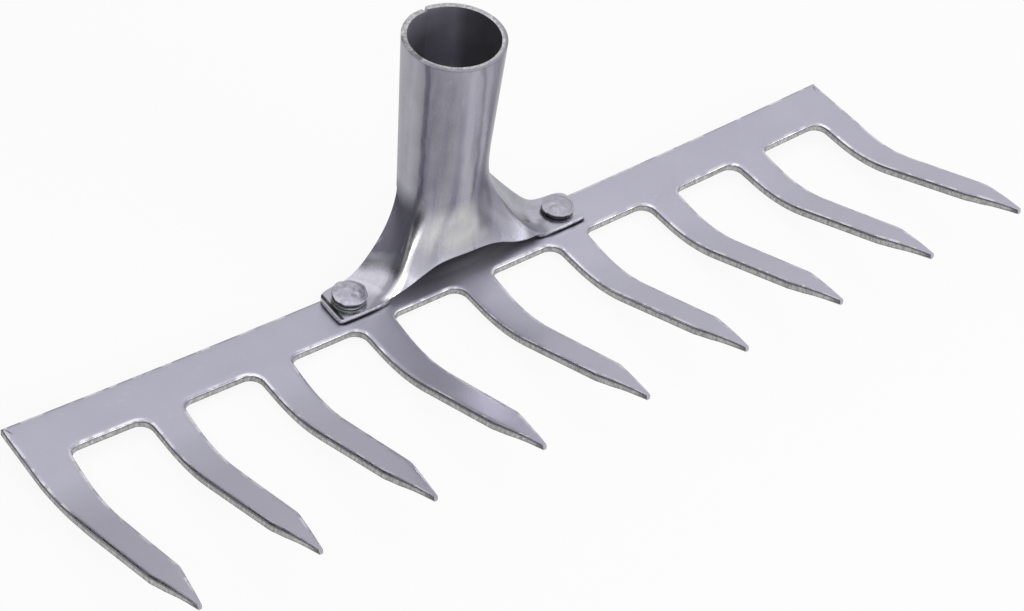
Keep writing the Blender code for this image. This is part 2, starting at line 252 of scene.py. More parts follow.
def calc(operation, *values):
    """A Math node in the tree that its values come from."""
    tree = next(value.tree for value in values if isinstance(value, Value))
    return put(tree, "ShaderNodeMath", dict(enumerate(values)), operation=operation)


def combine(tree, x=0.0, y=0.0, z=0.0):
    return put(tree, "ShaderNodeCombineXYZ", {"X": x, "Y": y, "Z": z})


def split(vector):
    node = vector.tree.nodes.new("ShaderNodeSeparateXYZ")
    plug(node.inputs[0], vector)
    return [Value(socket) for socket in node.outputs]


def distance(first, second):
    return calc("SQRT", first**2.0 + second**2.0)


def new_tree(name, kind, inputs, outputs):
    """An empty tree, what it is given and what it hands back; sockets are given as name and type."""
    tree = bpy.data.node_groups.new(name, kind)
    for direction, sockets in (("INPUT", inputs), ("OUTPUT", outputs)):
        for label, socket_type in sockets.items():
            tree.interface.new_socket(label, in_out=direction, socket_type="NodeSocket" + socket_type)
    given = {socket.name: Value(socket) for socket in tree.nodes.new("NodeGroupInput").outputs}
    return tree, given, tree.nodes.new("NodeGroupOutput").inputs


def new_geometry_tree(name, inputs):
    return new_tree(name, "GeometryNodeTree", {"Geometry": "Geometry"} | inputs, {"Geometry": "Geometry"})


def merge(geometry):
    return put(geometry.tree, "GeometryNodeMergeByDistance", {"Geometry": geometry, "Distance": SAME_POINT})


def end_tree(result, geometry, steel):
    """Ends a tree with real geometry in one material."""
    whole = put(geometry.tree, "GeometryNodeRealizeInstances", {"Geometry": geometry})
    finished = put(geometry.tree, "GeometryNodeSetMaterial", {"Geometry": whole, "Material": steel})
    plug(result["Geometry"], finished)


def new_object(name, data):
    made = bpy.data.objects.new(name, data)
    bpy.context.scene.collection.objects.link(made)
    return made


def grow(start_mesh, name, tree, values):
    """Runs a geometry tree on a mesh and hands back the plain mesh that it makes."""
    carrier = new_object(name, start_mesh)
    modifier = carrier.modifiers.new("grown", "NODES")
    modifier.node_group = tree
    sockets = {item.name: item.identifier for item in tree.interface.items_tree if item.in_out == "INPUT"}
    for label, value in values.items():
        modifier[sockets[label]] = value
    evaluated = carrier.evaluated_get(bpy.context.evaluated_depsgraph_get())
    mesh = bpy.data.meshes.new_from_object(evaluated)
    mesh.name = name
    bpy.data.objects.remove(carrier)
    return close_up(mesh)


def close_up(mesh):
    """Merges a mesh's doubles, turns its faces outwards and keeps its corners crisp."""
    shape = bmesh.new()
    shape.from_mesh(mesh)
    bmesh.ops.remove_doubles(shape, verts=shape.verts, dist=SAME_POINT)
    bmesh.ops.recalc_face_normals(shape, faces=shape.faces)
    shape.to_mesh(mesh)
    shape.free()
    mesh.shade_smooth()
    mesh.set_sharp_from_angle(angle=SHARP_ANGLE)
    return mesh


def mesh_from(shape, name):
    mesh = bpy.data.meshes.new(name)
    shape.to_mesh(mesh)
    shape.free()
    return mesh


def join_rows(shape, rows):
    """Faces between each row of points and the next."""
    for upper, lower in zip(rows, rows[1:]):
        for i in range(min(len(upper), len(lower)) - 1):
            shape.faces.new((upper[i], lower[i], lower[i + 1], upper[i + 1]))


def add_piece(name, mesh):
    """A finished piece of the head, which stands for the solid of the same name."""
    piece = new_object(name + "_finished", mesh)
    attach(piece, "root")
    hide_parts(name)
    return piece


# The comb: half of a tine is drawn flat, then repeated along the strip and pressed


def side_distances():
    """Distances along a tine at which its outline has a point, from under the root to near the tip."""
    shoulder = TINE_LENGTH - TAPER_LENGTH
    distances = []
    along = LEFT_ROOT_RADIUS
    while along < shoulder - TAPER_MARGIN:
        distances.append(along)
        along += OUTLINE_STEP
    return distances + [shoulder + TAPER_LENGTH * share for share in TAPER_SHARES]


def row_heights():
    """Heights of the rows across a tine, of which the first ones meet the inner side of the rolled root."""
    arc = LEFT_ROOT_RADIUS + EDGE_ROLL
    heights = [ROOT_Y - LEFT_ROOT_RADIUS + arc * math.cos(turn) for turn in ROUND_TURNS]
    return heights + [ROOT_Y - along for along in side_distances()]


def tine_half_width(along, side):
    """Half width of a tine at a distance along it; side is 1 on its right and -1 on its left."""
    taper = RIGHT_TAPER_LENGTH if side > 0 else TAPER_LENGTH
    shoulder = TINE_LENGTH - taper
    half = mix(ROOT_WIDTH, SHOULDER_WIDTH, min(along / shoulder, 1.0)) / 2
    if side > 0:
        half += RIGHT_SWELL + RIGHT_ROOT_SWELL * math.exp(-along / ROOT_SWELL_LENGTH)
    return mix(half, POINT_WIDTH / 2, clamp((along - shoulder) / taper))


def inset_directions(points):
    """Unit directions from a run of outline points into the plate, which lies to the right of the run."""
    directions = []
    for i in range(len(points)):
        run = points[min(i + 1, len(points) - 1)] - points[max(i - 1, 0)]
        directions.append(Vector((run.y, -run.x)).normalized())
    return directions


def plate_depth(along):
    """The plate's thickness, which the press thins towards a tine's point."""
    share = clamp((along - TINE_LENGTH + POINT_THIN_LENGTH) / POINT_THIN_LENGTH)
    return mix(BLADE_THICKNESS, POINT_THICKNESS, share**POINT_THIN_POWER)


class Blank:
    """Half of one tine with its share of the strip, drawn flat with its top face at height zero."""

    INNER = (0.0, 0.3, 0.6, 0.85)

    def __init__(self, side):
        self.side = side
        self.shape = bmesh.new()
        self.edge = self.shape.verts.layers.float.new("edge")

    def place(self, x, y, depth, edge=0.0):
        """A point; its edge value is 0 on the top face, 1 under the roll and 2 at the wall's foot."""
        vert = self.shape.verts.new((x * self.side, y, -depth))
        vert[self.edge] = edge
        return vert

    def rim(self, point, direction):
        """The punched edge at one outline point, from the top face down to the bottom face."""
        scale = min(1.0, point.x / ROLL_ROOM) if direction.x else 1.0
        depth = plate_depth(ROOT_Y - point.y)
        profile = []
        for turn in ROLL_TURNS:
            angle = math.radians(turn)
            profile.append((EDGE_ROLL * (1 - math.sin(angle)), EDGE_DROP * (1 - math.cos(angle)), turn / 90))
        profile.append((0.0, EDGE_BURNISH, 1.0 + EDGE_BURNISH / depth))
        profile.append((-EDGE_FLARE * 0.8, depth - EDGE_FLARE, 1.9))
        profile.append((EDGE_FLARE * 0.4, depth, 2.0))
        line = []
        for inset, down, edge in profile:
            spot = point + direction * inset * scale
            x = max(spot.x, OFF_MIDDLE) if point.x else 0.0
            line.append(self.place(x, spot.y, min(down * mix(0.6, 1.0, scale), depth), edge))
        return line

    def section(self, height, point, direction):
        """One row right round the half tine: top face, punched edge and bottom face."""
        line = self.rim(point, direction)
        row = []
        for end, depth in ((line[0], 0.0), (line[-1], plate_depth(ROOT_Y - height))):
            spots = [(abs(end.co.x) * share, mix(height, end.co.y, share)) for share in self.INNER]
            row.append([self.place(x, y, depth) for x, y in spots])
        return row[0] + line + row[1][::-1]

    def back_rim(self, columns):
        """The punched edge along the strip's back, at each of some distances from the tine's middle."""
        return [self.rim(Vector((x, BACK_Y)), Vector((0.0, -1.0))) for x in columns]

    def sections(self, heights, points, directions):
        """The tine from its root to its point, closed at the point."""
        rows = [self.section(*item) for item in zip(heights, points, directions)]
        join_rows(self.shape, rows)
        self.shape.faces.new(rows[-1])
        return rows


def gap_half(side):
    """The half of a tine that faces a gap, out to the middle of the gap."""
    blank = Blank(side)
    radius = RIGHT_ROOT_RADIUS if side > 0 else LEFT_ROOT_RADIUS
    reach = tine_half_width(radius, side) + radius
    points = []
    for turn in ROUND_TURNS:
        points.append(Vector((reach - radius * math.sin(turn), ROOT_Y - radius * (1 - math.cos(turn)))))
    points += [Vector((tine_half_width(along, side), ROOT_Y - along)) for along in side_distances()]
    directions = inset_directions(points)
    directions[0] = Vector((0.0, 1.0))
    first = blank.sections(row_heights(), points, directions)[0]

    columns = [reach * share for share in Blank.INNER]
    columns += [mix(reach, TINE_PITCH / 2, share) for share in GAP_SHARES]
    back = blank.back_rim(columns)
    join_rows(blank.shape, [line[::-1] for line in back])
    count = len(Blank.INNER)
    root = [first[count:-count]]
    root += [blank.rim(Vector((x, ROOT_Y)), Vector((0.0, 1.0))) for x in columns[count + 1 :]]
    join_rows(blank.shape, root[::-1])
    for end, depth in ((0, 0.0), (-1, BLADE_THICKNESS)):
        rows = [[line[end] for line in back]]
        for share in STRIP_SHARES:
            rows.append([blank.place(x, mix(BACK_Y, ROOT_Y, share), depth) for x in columns])
        inner = first[:count] if end == 0 else first[-count:][::-1]
        rows.append(inner + [line[end] for line in root])
        join_rows(blank.shape, rows)
    return mesh_from(blank.shape, "tine_half")


def end_half(side):
    """The half of an end tine that is the blade's own end, with a straight side and no round."""
    blank = Blank(side)
    heights = [mix(BACK_Y, ROOT_Y, share) for share in STRIP_SHARES] + row_heights()
    taper_end = END_STRAIGHT + END_TAPER
    points = []
    for height in heights:
        along = ROOT_Y - height
        half = mix(END_OVERHANG, tine_half_width(taper_end, side), clamp((along - END_STRAIGHT) / END_TAPER))
        points.append(Vector((half if along < taper_end else tine_half_width(along, side), height)))
    sections = blank.sections(heights, points, inset_directions(points))
    back = blank.back_rim([END_OVERHANG * share for share in Blank.INNER])
    corner = blank.rim(Vector((END_OVERHANG, BACK_Y)), Vector((-1.0, -1.0)))
    join_rows(blank.shape, [line[::-1] for line in back + [corner]])
    edge_row = [line[0] for line in back] + corner + [line[-1] for line in back][::-1]
    join_rows(blank.shape, [edge_row, sections[0]])
    return mesh_from(blank.shape, "end_half")


def comb_tree():
    """Repeats the half tines along the strip, then bends the tines and bows the whole blade."""
    sizes = (
        "Tine Pitch", "Root Line", "Plate Thickness", "Bend Start", "Bend Length", "Bend Angle",
        "Point Bend Start", "Point Bend Length", "Point Bend Angle", "Bow Rise", "Bow Flat", "Blade Length",
        "Fan Out")
    tree, given, result = new_geometry_tree("pressed_comb", {
        "Left Half": "Object", "Left End": "Object", "Right End": "Object", "Tine Count": "Int",
        **dict.fromkeys(sizes, "Float"), "Steel": "Material"})
    (pitch, root_line, thickness, bend_start, bend_length, bend_angle, point_start, point_length, point_angle,
     end_rise, flat_reach, blade_length, fan_out) = [given[label] for label in sizes]
    gaps = given["Tine Count"] - 1.0
    half_span = gaps * pitch * 0.5
    first = half_span * -1.0
    drawn = {}
    for label in ("Left Half", "Left End", "Right End"):
        drawn[label] = put(tree, "GeometryNodeObjectInfo", {"Object": given[label]}, "Geometry")
    joined = tree.nodes.new("GeometryNodeJoinGeometry")
    for half, first_tine in ((given["Geometry"], first), (drawn["Left Half"], first + pitch)):
        line = put(tree, "GeometryNodeMeshLine", {
            "Count": gaps, "Start Location": combine(tree, first_tine), "Offset": combine(tree, pitch)})
        plug(joined.inputs[0], put(tree, "GeometryNodeInstanceOnPoints", {"Points": line, "Instance": half}))
    for label, end_tine in (("Left End", first), ("Right End", half_span)):
        plug(joined.inputs[0], put(tree, "GeometryNodeTransform", {
            "Geometry": drawn[label], "Translation": combine(tree, end_tine)}))
    solid = put(tree, "GeometryNodeRealizeInstances", {"Geometry": Value(joined.outputs[0])})

    x, y, z = split(put(tree, "GeometryNodeInputPosition"))
    along = root_line - y
    first_turn = (along - bend_start).ramp(0.0, bend_length) * bend_angle
    first_radius = bend_length / bend_angle
    straight = calc("MINIMUM", along, point_start) - (bend_start + bend_length)
    straight = calc("MAXIMUM", straight, 0.0)
    point_share = (along - point_start).ramp(0.0, point_length)
    point_radius = point_length / point_angle * calc("GREATER_THAN", point_share, 0.0)
    slope = first_turn - point_share * point_angle
    full_sine = calc("SINE", bend_angle)
    full_cosine = calc("COSINE", bend_angle)
    slope_sine = calc("SINE", slope)
    slope_cosine = calc("COSINE", slope)
    forward = calc("MINIMUM", along, bend_start) + first_radius * calc("SINE", first_turn)
    forward = forward + straight * full_cosine + point_radius * (full_sine - slope_sine)
    rise = first_radius * (1.0 - calc("COSINE", first_turn)) + straight * full_sine
    rise = rise + point_radius * (slope_cosine - full_cosine)
    bowed = calc("MAXIMUM", abs(x) - flat_reach, 0.0) / (blade_length * 0.5 - flat_reach)
    fanned = x * fan_out / half_span * along.ramp(0.0, point_start + point_length)
    pressed = combine(
        tree, x + fanned, root_line - forward + z * slope_sine,
        thickness + rise + z * slope_cosine + bowed**2.0 * end_rise)
    moved = put(tree, "GeometryNodeSetPosition", {"Geometry": merge(solid), "Position": pressed})
    end_tree(result, moved, given["Steel"])
    return tree


def make_comb(steel):
    halves = {"Left Half": gap_half(-1), "Left End": end_half(-1), "Right End": end_half(1)}
    drawn = {label: new_object("drawn", mesh) for label, mesh in halves.items()}
    mesh = grow(gap_half(1), "comb", comb_tree(), drawn | {
        "Tine Count": TINE_COUNT, "Tine Pitch": TINE_PITCH, "Root Line": ROOT_Y,
        "Plate Thickness": BLADE_THICKNESS, "Bend Start": BEND_START, "Bend Length": BEND_LENGTH,
        "Bend Angle": BEND_ANGLE, "Point Bend Start": TINE_LENGTH - POINT_BEND_LENGTH,
        "Point Bend Length": POINT_BEND_LENGTH, "Point Bend Angle": POINT_BEND_ANGLE, "Bow Rise": BOW_RISE,
        "Bow Flat": BOW_FLAT, "Blade Length": 2 * HALF_BLADE, "Fan Out": FAN_OUT, "Steel": steel})
    for item in drawn.values():
        bpy.data.objects.remove(item)
    add_piece("tine_blade", mesh)


# The handle socket: the sheet's outer face as a coarse cage of two halves, rounded and given its thickness


def bow_rise(x):
    reach = max(abs(x) - BOW_FLAT, 0.0) / (HALF_BLADE - BOW_FLAT)
    return BOW_RISE * reach**2


def tube_point(angle, height, swell=0.0):
    """A point on the tapered tube, its angle counted from the front, its height from the blade's face."""
    radius = (RIM_RADIUS - SOCKET_TAPER * (SOCKET_HEIGHT - height)) * (1.0 + swell)
    y = SOCKET_AXIS_Y - radius * math.cos(angle)
    return Vector((radius * math.sin(angle), y, BLADE_THICKNESS + height))


def seam_point(height):
    point = tube_point(math.pi, height)
    point.x = (SEAM_NOTCH if height == SOCKET_HEIGHT else SEAM_GAP) / 2
    return point


def tube_rows():
    angles = [math.pi * i / TUBE_COLUMNS for i in range(TUBE_COLUMNS)]
    heights = [mix(SOCKET_HEIGHT, ROUND_BOTTOM, share) for share in TUBE_ROWS]
    return [[tube_point(angle, height) for angle in angles] + [seam_point(height)] for height in heights]


def notch_row():
    """The row where the wings leave the tube, and along its back the tube's own cut lower edge."""
    row = []
    for share in FRONT_COLUMNS:
        row.append(tube_point(RIDGE_ANGLE * share, NOTCH_HEIGHT, RIDGE_SWELL * share**2))
    for share in WING_COLUMNS:
        swell = mix(NOTCH_SWELL, RIDGE_SWELL, (1.0 - share) ** 1.5)
        row.append(tube_point(mix(RIDGE_ANGLE, NOTCH_ANGLE, share), NOTCH_HEIGHT, swell))
    back_columns = TUBE_COLUMNS + 1 - len(row)
    for i in range(1, back_columns):
        share = i / back_columns
        drop = (NOTCH_HEIGHT - BACK_CUT_HEIGHT) * math.sin(share * math.pi / 2)
        row.append(tube_point(mix(NOTCH_ANGLE, math.pi, share), NOTCH_HEIGHT - drop))
    return row + [seam_point(BACK_CUT_HEIGHT)]


def wing_column(top, share):
    """A run of points down a wing from the tube to the ear's end; share is 0 at the front, 1 at the back."""
    root_x = mix(EAR_FRONT_ROOT, EAR_BACK_ROOT, share**EAR_ROOT_CURVE)
    root_y = EAR_FRONT_Y + EAR_DEPTH * share
    column = []
    for along in WING_ROWS:
        left = 1.0 - along
        x = mix(top.x, root_x, along) + RIDGE_BULGE * (1.0 - share) ** 2 * math.sin(math.pi * along)
        y = root_y + (top.y - root_y) * left ** mix(*WING_SWEEP, share)
        z = EAR_TOP + (top.z - EAR_TOP) * left ** mix(*WING_FALL, share)
        column.append(Vector((x, y, z + bow_rise(x))))
    corner_x = EAR_REACH - mix(EAR_FRONT_CORNER, EAR_CORNER, share)
    end_y = mix(EAR_FRONT_Y + EAR_FRONT_CORNER / 2, EAR_FRONT_Y + EAR_DEPTH - EAR_CORNER / 2, share)
    for x, y in ((corner_x, root_y), (EAR_REACH, end_y)):
        column.append(Vector((x, y, EAR_TOP + bow_rise(x))))
    return column


def front_column(top, share, ridge, edge_height):
    """A run of points down the socket's front to the arch, level with the first points of the ridge."""
    corner = ridge[-1]
    edge_y = corner.y + ARCH_SET_BACK * (1.0 - share**3)
    ridge_top = BLADE_THICKNESS + NOTCH_HEIGHT
    column = []
    for point in ridge:
        left = (point.z - corner.z) / (ridge_top - corner.z)
        y = mix(edge_y, top.y, left ** mix(ARCH_FLARE, 1.0, share))
        z = mix(BLADE_THICKNESS + edge_height, top.z, left)
        column.append(Vector((mix(corner.x * share, top.x, left), y, z)))
    return column


def draw_half(shape, side):
    """One half of the cage: tube, wing and front panel; side is 1 on the right and -1 on the left."""
    corner_crease = shape.verts.layers.float["crease_vert"]
    fold_crease = shape.edges.layers.float["crease_edge"]
    fold_mark = shape.verts.layers.float["fold"]
    wing_mark = shape.verts.layers.float["wing"]

    def place(point):
        return shape.verts.new((point.x * side, point.y, point.z))

    def skin(grid):
        join_rows(shape, grid if side > 0 else [row[::-1] for row in grid])

    rows = tube_rows() + [notch_row()]
    ridge_index = len(FRONT_COLUMNS) - 1
    notch_index = ridge_index + len(WING_COLUMNS)
    grid = [[place(point) for point in row] for row in rows]
    skin(grid)
    if side < 0:
        grid[0][-1].co.z -= SEAM_STEP

    wing_tops = rows[-1][ridge_index : notch_index + 1]
    wings = [wing_column(top, i / (len(wing_tops) - 1)) for i, top in enumerate(wing_tops)]
    wing_grid = [grid[-1][ridge_index : notch_index + 1]]
    wing_grid += [[place(column[i]) for column in wings] for i in range(len(wings[0]))]
    skin(wing_grid)

    heights = ARCH_RIGHT_EDGE if side > 0 else ARCH_LEFT_EDGE
    tops = zip(rows[-1], FRONT_COLUMNS, heights)
    fronts = [front_column(top, share, wings[0][:ARCH_ROWS], height) for top, share, height in tops]
    front_grid = [grid[-1][: ridge_index + 1]]
    for i in range(ARCH_ROWS):
        front_grid.append([place(column[i]) for column in fronts] + [wing_grid[i + 1][0]])
    skin(front_grid)

    for row in wing_grid:
        row[0][fold_mark] = 1.0
        for vert in row[1:]:
            vert[wing_mark] = 1.0
    for corner in (grid[0][-1], grid[-1][-1]):
        corner[corner_crease] = 1.0
    ridge = [row[0] for row in wing_grid]
    for upper, lower, sharpness in zip(ridge, ridge[1:], RIDGE_SHARPNESS):
        shape.edges.get((upper, lower))[fold_crease] = sharpness


def make_socket(steel, inside, cut_edge):
    shape = bmesh.new()
    for name in ("crease_vert", "fold", "wing"):
        shape.verts.layers.float.new(name)
    shape.edges.layers.float.new("crease_edge")
    for side in (1, -1):
        draw_half(shape, side)
    bmesh.ops.remove_doubles(shape, verts=shape.verts, dist=SAME_CAGE_POINT)
    mesh = mesh_from(shape, "socket")
    for material in (steel, inside, cut_edge):
        mesh.materials.append(material)
    mesh.shade_smooth()
    socket = add_piece("handle_socket", mesh)
    smooth = socket.modifiers.new("rolled_form", "SUBSURF")
    smooth.levels = ROUNDING_LEVELS
    smooth.render_levels = ROUNDING_LEVELS
    sheet = socket.modifiers.new("sheet", "SOLIDIFY")
    sheet.thickness = SHEET_THICKNESS
    sheet.offset = -1.0
    sheet.use_even_offset = True
    sheet.material_offset = 1
    sheet.material_offset_rim = 2
    worn = socket.modifiers.new("worn_edges", "BEVEL")
    worn.width = WORN_EDGE
    worn.segments = WORN_STEPS
    worn.material = 0
    worn.limit_method = "ANGLE"
    worn.angle_limit = WORN_ANGLE


# The rivets: a turned profile, revolved and hammered


def dome(radius, height, base, steps, upward):
    """Points of a shallow dome's profile, from its middle out to its edge."""
    curve_radius = (radius**2 + height**2) / (2 * height)
    half_angle = math.asin(radius / curve_radius)
    points = []
    for i in range(steps + 1):
        angle = half_angle * i / steps
        rise = curve_radius * math.cos(angle) - (curve_radius - height)
        points.append((curve_radius * math.sin(angle), base + upward * rise))
    return points


def rivet_profile(head_radius, head_edge):
    """Head, shank and formed tail as a line, measured from the blade's face under the ear."""
    head_seat = SEAT_GAP + SHEET_THICKNESS + SEAT_GAP
    tail_seat = -BLADE_THICKNESS - SEAT_GAP
    inner = head_radius - RIVET_SOFT_EDGE
    profile = dome(inner, RIVET_DOME, head_seat + head_edge, DOME_STEPS, 1.0)
    for turn in SOFT_EDGE_TURNS:
        angle = math.radians(turn)
        drop = RIVET_SOFT_EDGE * (1 - math.cos(angle))
        profile.append((inner + RIVET_SOFT_EDGE * math.sin(angle), head_seat + head_edge - drop))
    for share, taper in RIVET_SIDE:
        profile.append((head_radius - taper, head_seat + (head_edge - RIVET_SOFT_EDGE) * share))
    profile += [(RIVET_SHANK_RADIUS, head_seat), (RIVET_SHANK_RADIUS, tail_seat)]
    profile += [(RIVET_TAIL_RADIUS, tail_seat)]
    profile += dome(RIVET_TAIL_RADIUS, RIVET_TAIL_HEIGHT, tail_seat, TAIL_STEPS, -1.0)[-2::-1]
    mesh = bpy.data.meshes.new("rivet_profile")
    mesh.from_pydata([(x, 0.0, z) for x, z in profile], [(i, i + 1) for i in range(len(profile) - 1)], [])
    return mesh


def rivet_tree():
    """Turns a profile line about the upright axis, dents its head and sets it in its hole."""
    sizes = ("Dent Depth", "Dent Size", "Knock Size", "Seed", "Head Height", "Rim Wobble", "Dome")
    tree, given, result = new_geometry_tree("hammered_rivet", {
        "Points": "Int", "Steps": "Int", "Place": "Vector", **dict.fromkeys(sizes, "Float"),
        "Steel": "Material"})
    dent_depth, dent_size, knock_size, seed, head, wobble, dome_height = [given[label] for label in sizes]
    grid = put(tree, "GeometryNodeMeshGrid", {
        "Size X": 1.0, "Size Y": 1.0, "Vertices X": given["Points"], "Vertices Y": given["Steps"] + 1.0})
    position = put(tree, "GeometryNodeInputPosition")
    grid_x, grid_y = split(position)[:2]
    index = calc("ROUND", (grid_x + 0.5) * (given["Points"] - 1.0))
    radius, _, height = split(put(tree, "GeometryNodeSampleIndex", {
        "Geometry": given["Geometry"], "Index": index, "Value": position}, data_type="FLOAT_VECTOR"))
    angle = (grid_y + 0.5) * (2 * math.pi)
    x = radius * calc("COSINE", angle)
    y = radius * calc("SINE", angle)

    def blows(size, place, detail):
        return put(tree, "ShaderNodeTexNoise", {
            "Vector": combine(tree, x, y, height), "W": place, "Scale": size, "Detail": detail},
            noise_dimensions="4D")

    dent = (blows(dent_size, seed, 1.0) - DENT_LEVEL) * dent_depth * height.ramp(head * 0.6, head)
    knocks = (blows(knock_size, seed + 5.0, 2.0) - 0.5) * wobble * height.ramp(head * 0.4, head * 0.75)
    wider = calc("MINIMUM", knocks, MOST_SPREAD) + 1.0
    hammered = combine(tree, x * wider, y * wider, height + calc("MINIMUM", dent, 0.0))
    placed = put(tree, "ShaderNodeVectorMath", {0: hammered, 1: given["Place"]}, operation="ADD")
    below = (head - dome_height - height).ramp(*RIVET_SIDE_START)
    marked = put(tree, "GeometryNodeStoreNamedAttribute", {
        "Geometry": grid, "Name": "side", "Value": below}, data_type="FLOAT", domain="POINT")
    formed = put(tree, "GeometryNodeSetPosition", {"Geometry": marked, "Position": placed})
    end_tree(result, merge(formed), given["Steel"])
    return tree


def make_rivets(steel):
    tree = rivet_tree()
    rivets = (
        ("rivet_left", -RIVET_LEFT_X, RIVET_LEFT_SEED, RIVET_LEFT_RADIUS, RIVET_LEFT_EDGE),
        ("rivet_right", RIVET_RIGHT_X, RIVET_RIGHT_SEED, RIVET_RIGHT_RADIUS, RIVET_RIGHT_EDGE))
    for name, x, seed, head_radius, head_edge in rivets:
        profile = rivet_profile(head_radius, head_edge)
        mesh = grow(profile, name, tree, {
            "Points": len(profile.vertices), "Steps": RIVET_TURNS, "Seed": seed, "Dent Depth": DENT_DEPTH,
            "Dent Size": DENT_SCALE, "Knock Size": DENT_SCALE,
            "Place": (x, EAR_CENTRE_Y, BLADE_THICKNESS + bow_rise(x)),
            "Head Height": SEAT_GAP * 2 + SHEET_THICKNESS + head_edge + RIVET_DOME,
            "Rim Wobble": RIM_WOBBLE, "Dome": RIVET_DOME, "Steel": steel})
        add_piece(name, mesh)


# Effects that the metals share


def new_effect(name, inputs, outputs):
    return new_tree(name, "ShaderNodeTree", {"Vector": "Vector", "Scale": "Float"} | inputs, outputs)


def noise(vector, scale, detail=2.0, distortion=0.0):
    return put(vector.tree, "ShaderNodeTexNoise", {
        "Vector": vector, "Scale": scale, "Detail": detail, "Distortion": distortion})


def stretched(vector, stretch):
    return put(vector.tree, "ShaderNodeVectorMath", {0: vector, 1: stretch}, operation="MULTIPLY")


def cloudy_mottle():
    """Soft uneven patches, as oil and scale leave on steel."""
    tree, given, result = new_effect("cloudy_mottle", {"Contrast": "Float"}, {"Mask": "Float"})
    cloud = noise(given["Vector"], given["Scale"], 3.0, 0.4)
    plug(result["Mask"], ((cloud - 0.5) * given["Contrast"] + 0.5).ramp(0.0, 1.0))
    return tree


def handling_scratches():
    """Thin broken lines, stretched along the way the steel was rolled or handled."""
    tree, given, result = new_effect(
        "handling_scratches", {"Stretch": "Vector", "Amount": "Float"}, {"Mask": "Float"})
    lines = noise(stretched(given["Vector"], given["Stretch"]), given["Scale"], 1.0, 0.6)
    breaks = noise(given["Vector"], given["Scale"] * 0.12, 1.0)
    start = 0.82 - given["Amount"] * 0.25
    plug(result["Mask"], lines.ramp(start, start + 0.05) * breaks.ramp(0.45, 0.6))
    return tree


def steel_grain():
    """The fine pitted grain of hot rolled steel, as a height and as a small change of tone."""
    tree, given, result = new_effect("steel_grain", {}, {"Height": "Float", "Tone": "Float"})
    fine = noise(given["Vector"], given["Scale"])
    coarse = noise(given["Vector"], given["Scale"] * 0.22)
    plug(result["Height"], coarse * 0.5 + fine)
    plug(result["Tone"], fine.ramp(0.3, 0.7))
    return tree


def torn_edge():
    """A sheared wall: crystals of light and dark, drawn out down the wall by the punch."""
    tree, given, result = new_effect("torn_edge", {}, {"Mask": "Float", "Height": "Float"})
    grain = noise(stretched(given["Vector"], (1.0, 1.0, 0.45)), given["Scale"], 3.0, 0.8)
    plug(result["Mask"], grain.ramp(0.36, 0.66))
    plug(result["Height"], grain)
    return tree


def ellipse(first, second, centre, reach, soft):
    """One inside an ellipse, fading to none at its edge over a share of its size."""
    away = distance((first - centre[0]) / reach[0], (second - centre[1]) / reach[1])
    return away.ramp(1.0, 1.0 - soft)


def mix_colour(share, first, second):
    """A colour between two, each of them three numbers or what a node puts out."""
    colours = [(*colour, 1.0) if isinstance(colour, tuple) else colour for colour in (first, second)]
    return put(share.tree, "ShaderNodeMix", dict(zip((0, 6, 7), (share, *colours))), 2, data_type="RGBA")


class Metal:
    """A metal that is painted in steps; x, y and z are the place on the object in millimetres."""

    def __init__(self, name, effects):
        self.effects = effects
        self.material = bpy.data.materials.new(name)
        self.material.use_nodes = True
        self.tree = self.material.node_tree
        self.shader = self.tree.nodes["Principled BSDF"]
        self.shader.inputs["Metallic"].default_value = 1.0
        self.place = put(self.tree, "ShaderNodeTexCoord", output="Object")
        self.x, self.y, self.z = [part / MM for part in split(self.place)]
        self.colour = None

    def attribute(self, name):
        return put(self.tree, "ShaderNodeAttribute", output="Fac", attribute_name=name)

    def effect(self, name, **inputs):
        """Places a shared effect and hands back what it puts out, by name."""
        inputs = {"Vector": self.place} | inputs
        first = put(self.tree, "ShaderNodeGroup", inputs, node_tree=self.effects[name])
        return {socket.name: Value(socket) for socket in first.socket.node.outputs}

    def tint(self, mask, colour, strength=1.0):
        """Moves the colour so far towards another one, as far as the mask and the strength say."""
        self.colour = mix_colour(mask * strength, self.colour, colour)

    def finish(self, roughness, height, depth):
        """Joins the painted colour, the roughness and a bump of some depth to the shader."""
        bump = put(self.tree, "ShaderNodeBump", {"Height": height, "Distance": depth, "Strength": 1.0})
        for name, value in (("Base Color", self.colour), ("Roughness", roughness), ("Normal", bump)):
            plug(self.shader.inputs[name], value)
        return self.material


# The comb's steel

PLATE = ((0.415, 0.405, 0.485), (0.455, 0.445, 0.522))
PLATE_GRAIN = (0.36, 0.355, 0.42)
PLATE_SCRATCH = (0.60, 0.60, 0.65)
PLATE_LEFT_SHADE = (0.30, 0.295, 0.35)
UNDER_SOCKET_SHADE = (0.08, 0.079, 0.092)
UNDER_SOCKET_DEEP_SHADE = (0.015, 0.015, 0.018)
EAR_CONTACT_SHADOW = (0.03, 0.03, 0.038)
BACK_EDGE_DARKENING = (0.2, 0.2, 0.2)
ROLL_WEAR_AND_HIGHLIGHT = (0.8, 0.8, 0.83)
TORN_WALL = ((0.37, 0.37, 0.37), (0.64, 0.64, 0.635))
WALL_SHADE_LINE = (0.09, 0.088, 0.10)
TIP_WALL_DARK = (0.07, 0.07, 0.08)

# Places of the plate's marks in millimetres: patches by centre, reach and softness, bands by their ends
UNDER_SOCKET_SHADE_PATCH = ((-2.0, 5.0), (40.0, 13.5), 0.4)
UNDER_SOCKET_DEEP_SHADE_PATCH = ((3.0, 8.6), (40.0, 10.5), 0.35)
LEFT_SHADE_X = (20.0, -90.0)
EAR_SEAT_X = (36.0, 42.0, 51.5, 53.0)
TIP_Y = (-99.0, -103.0)

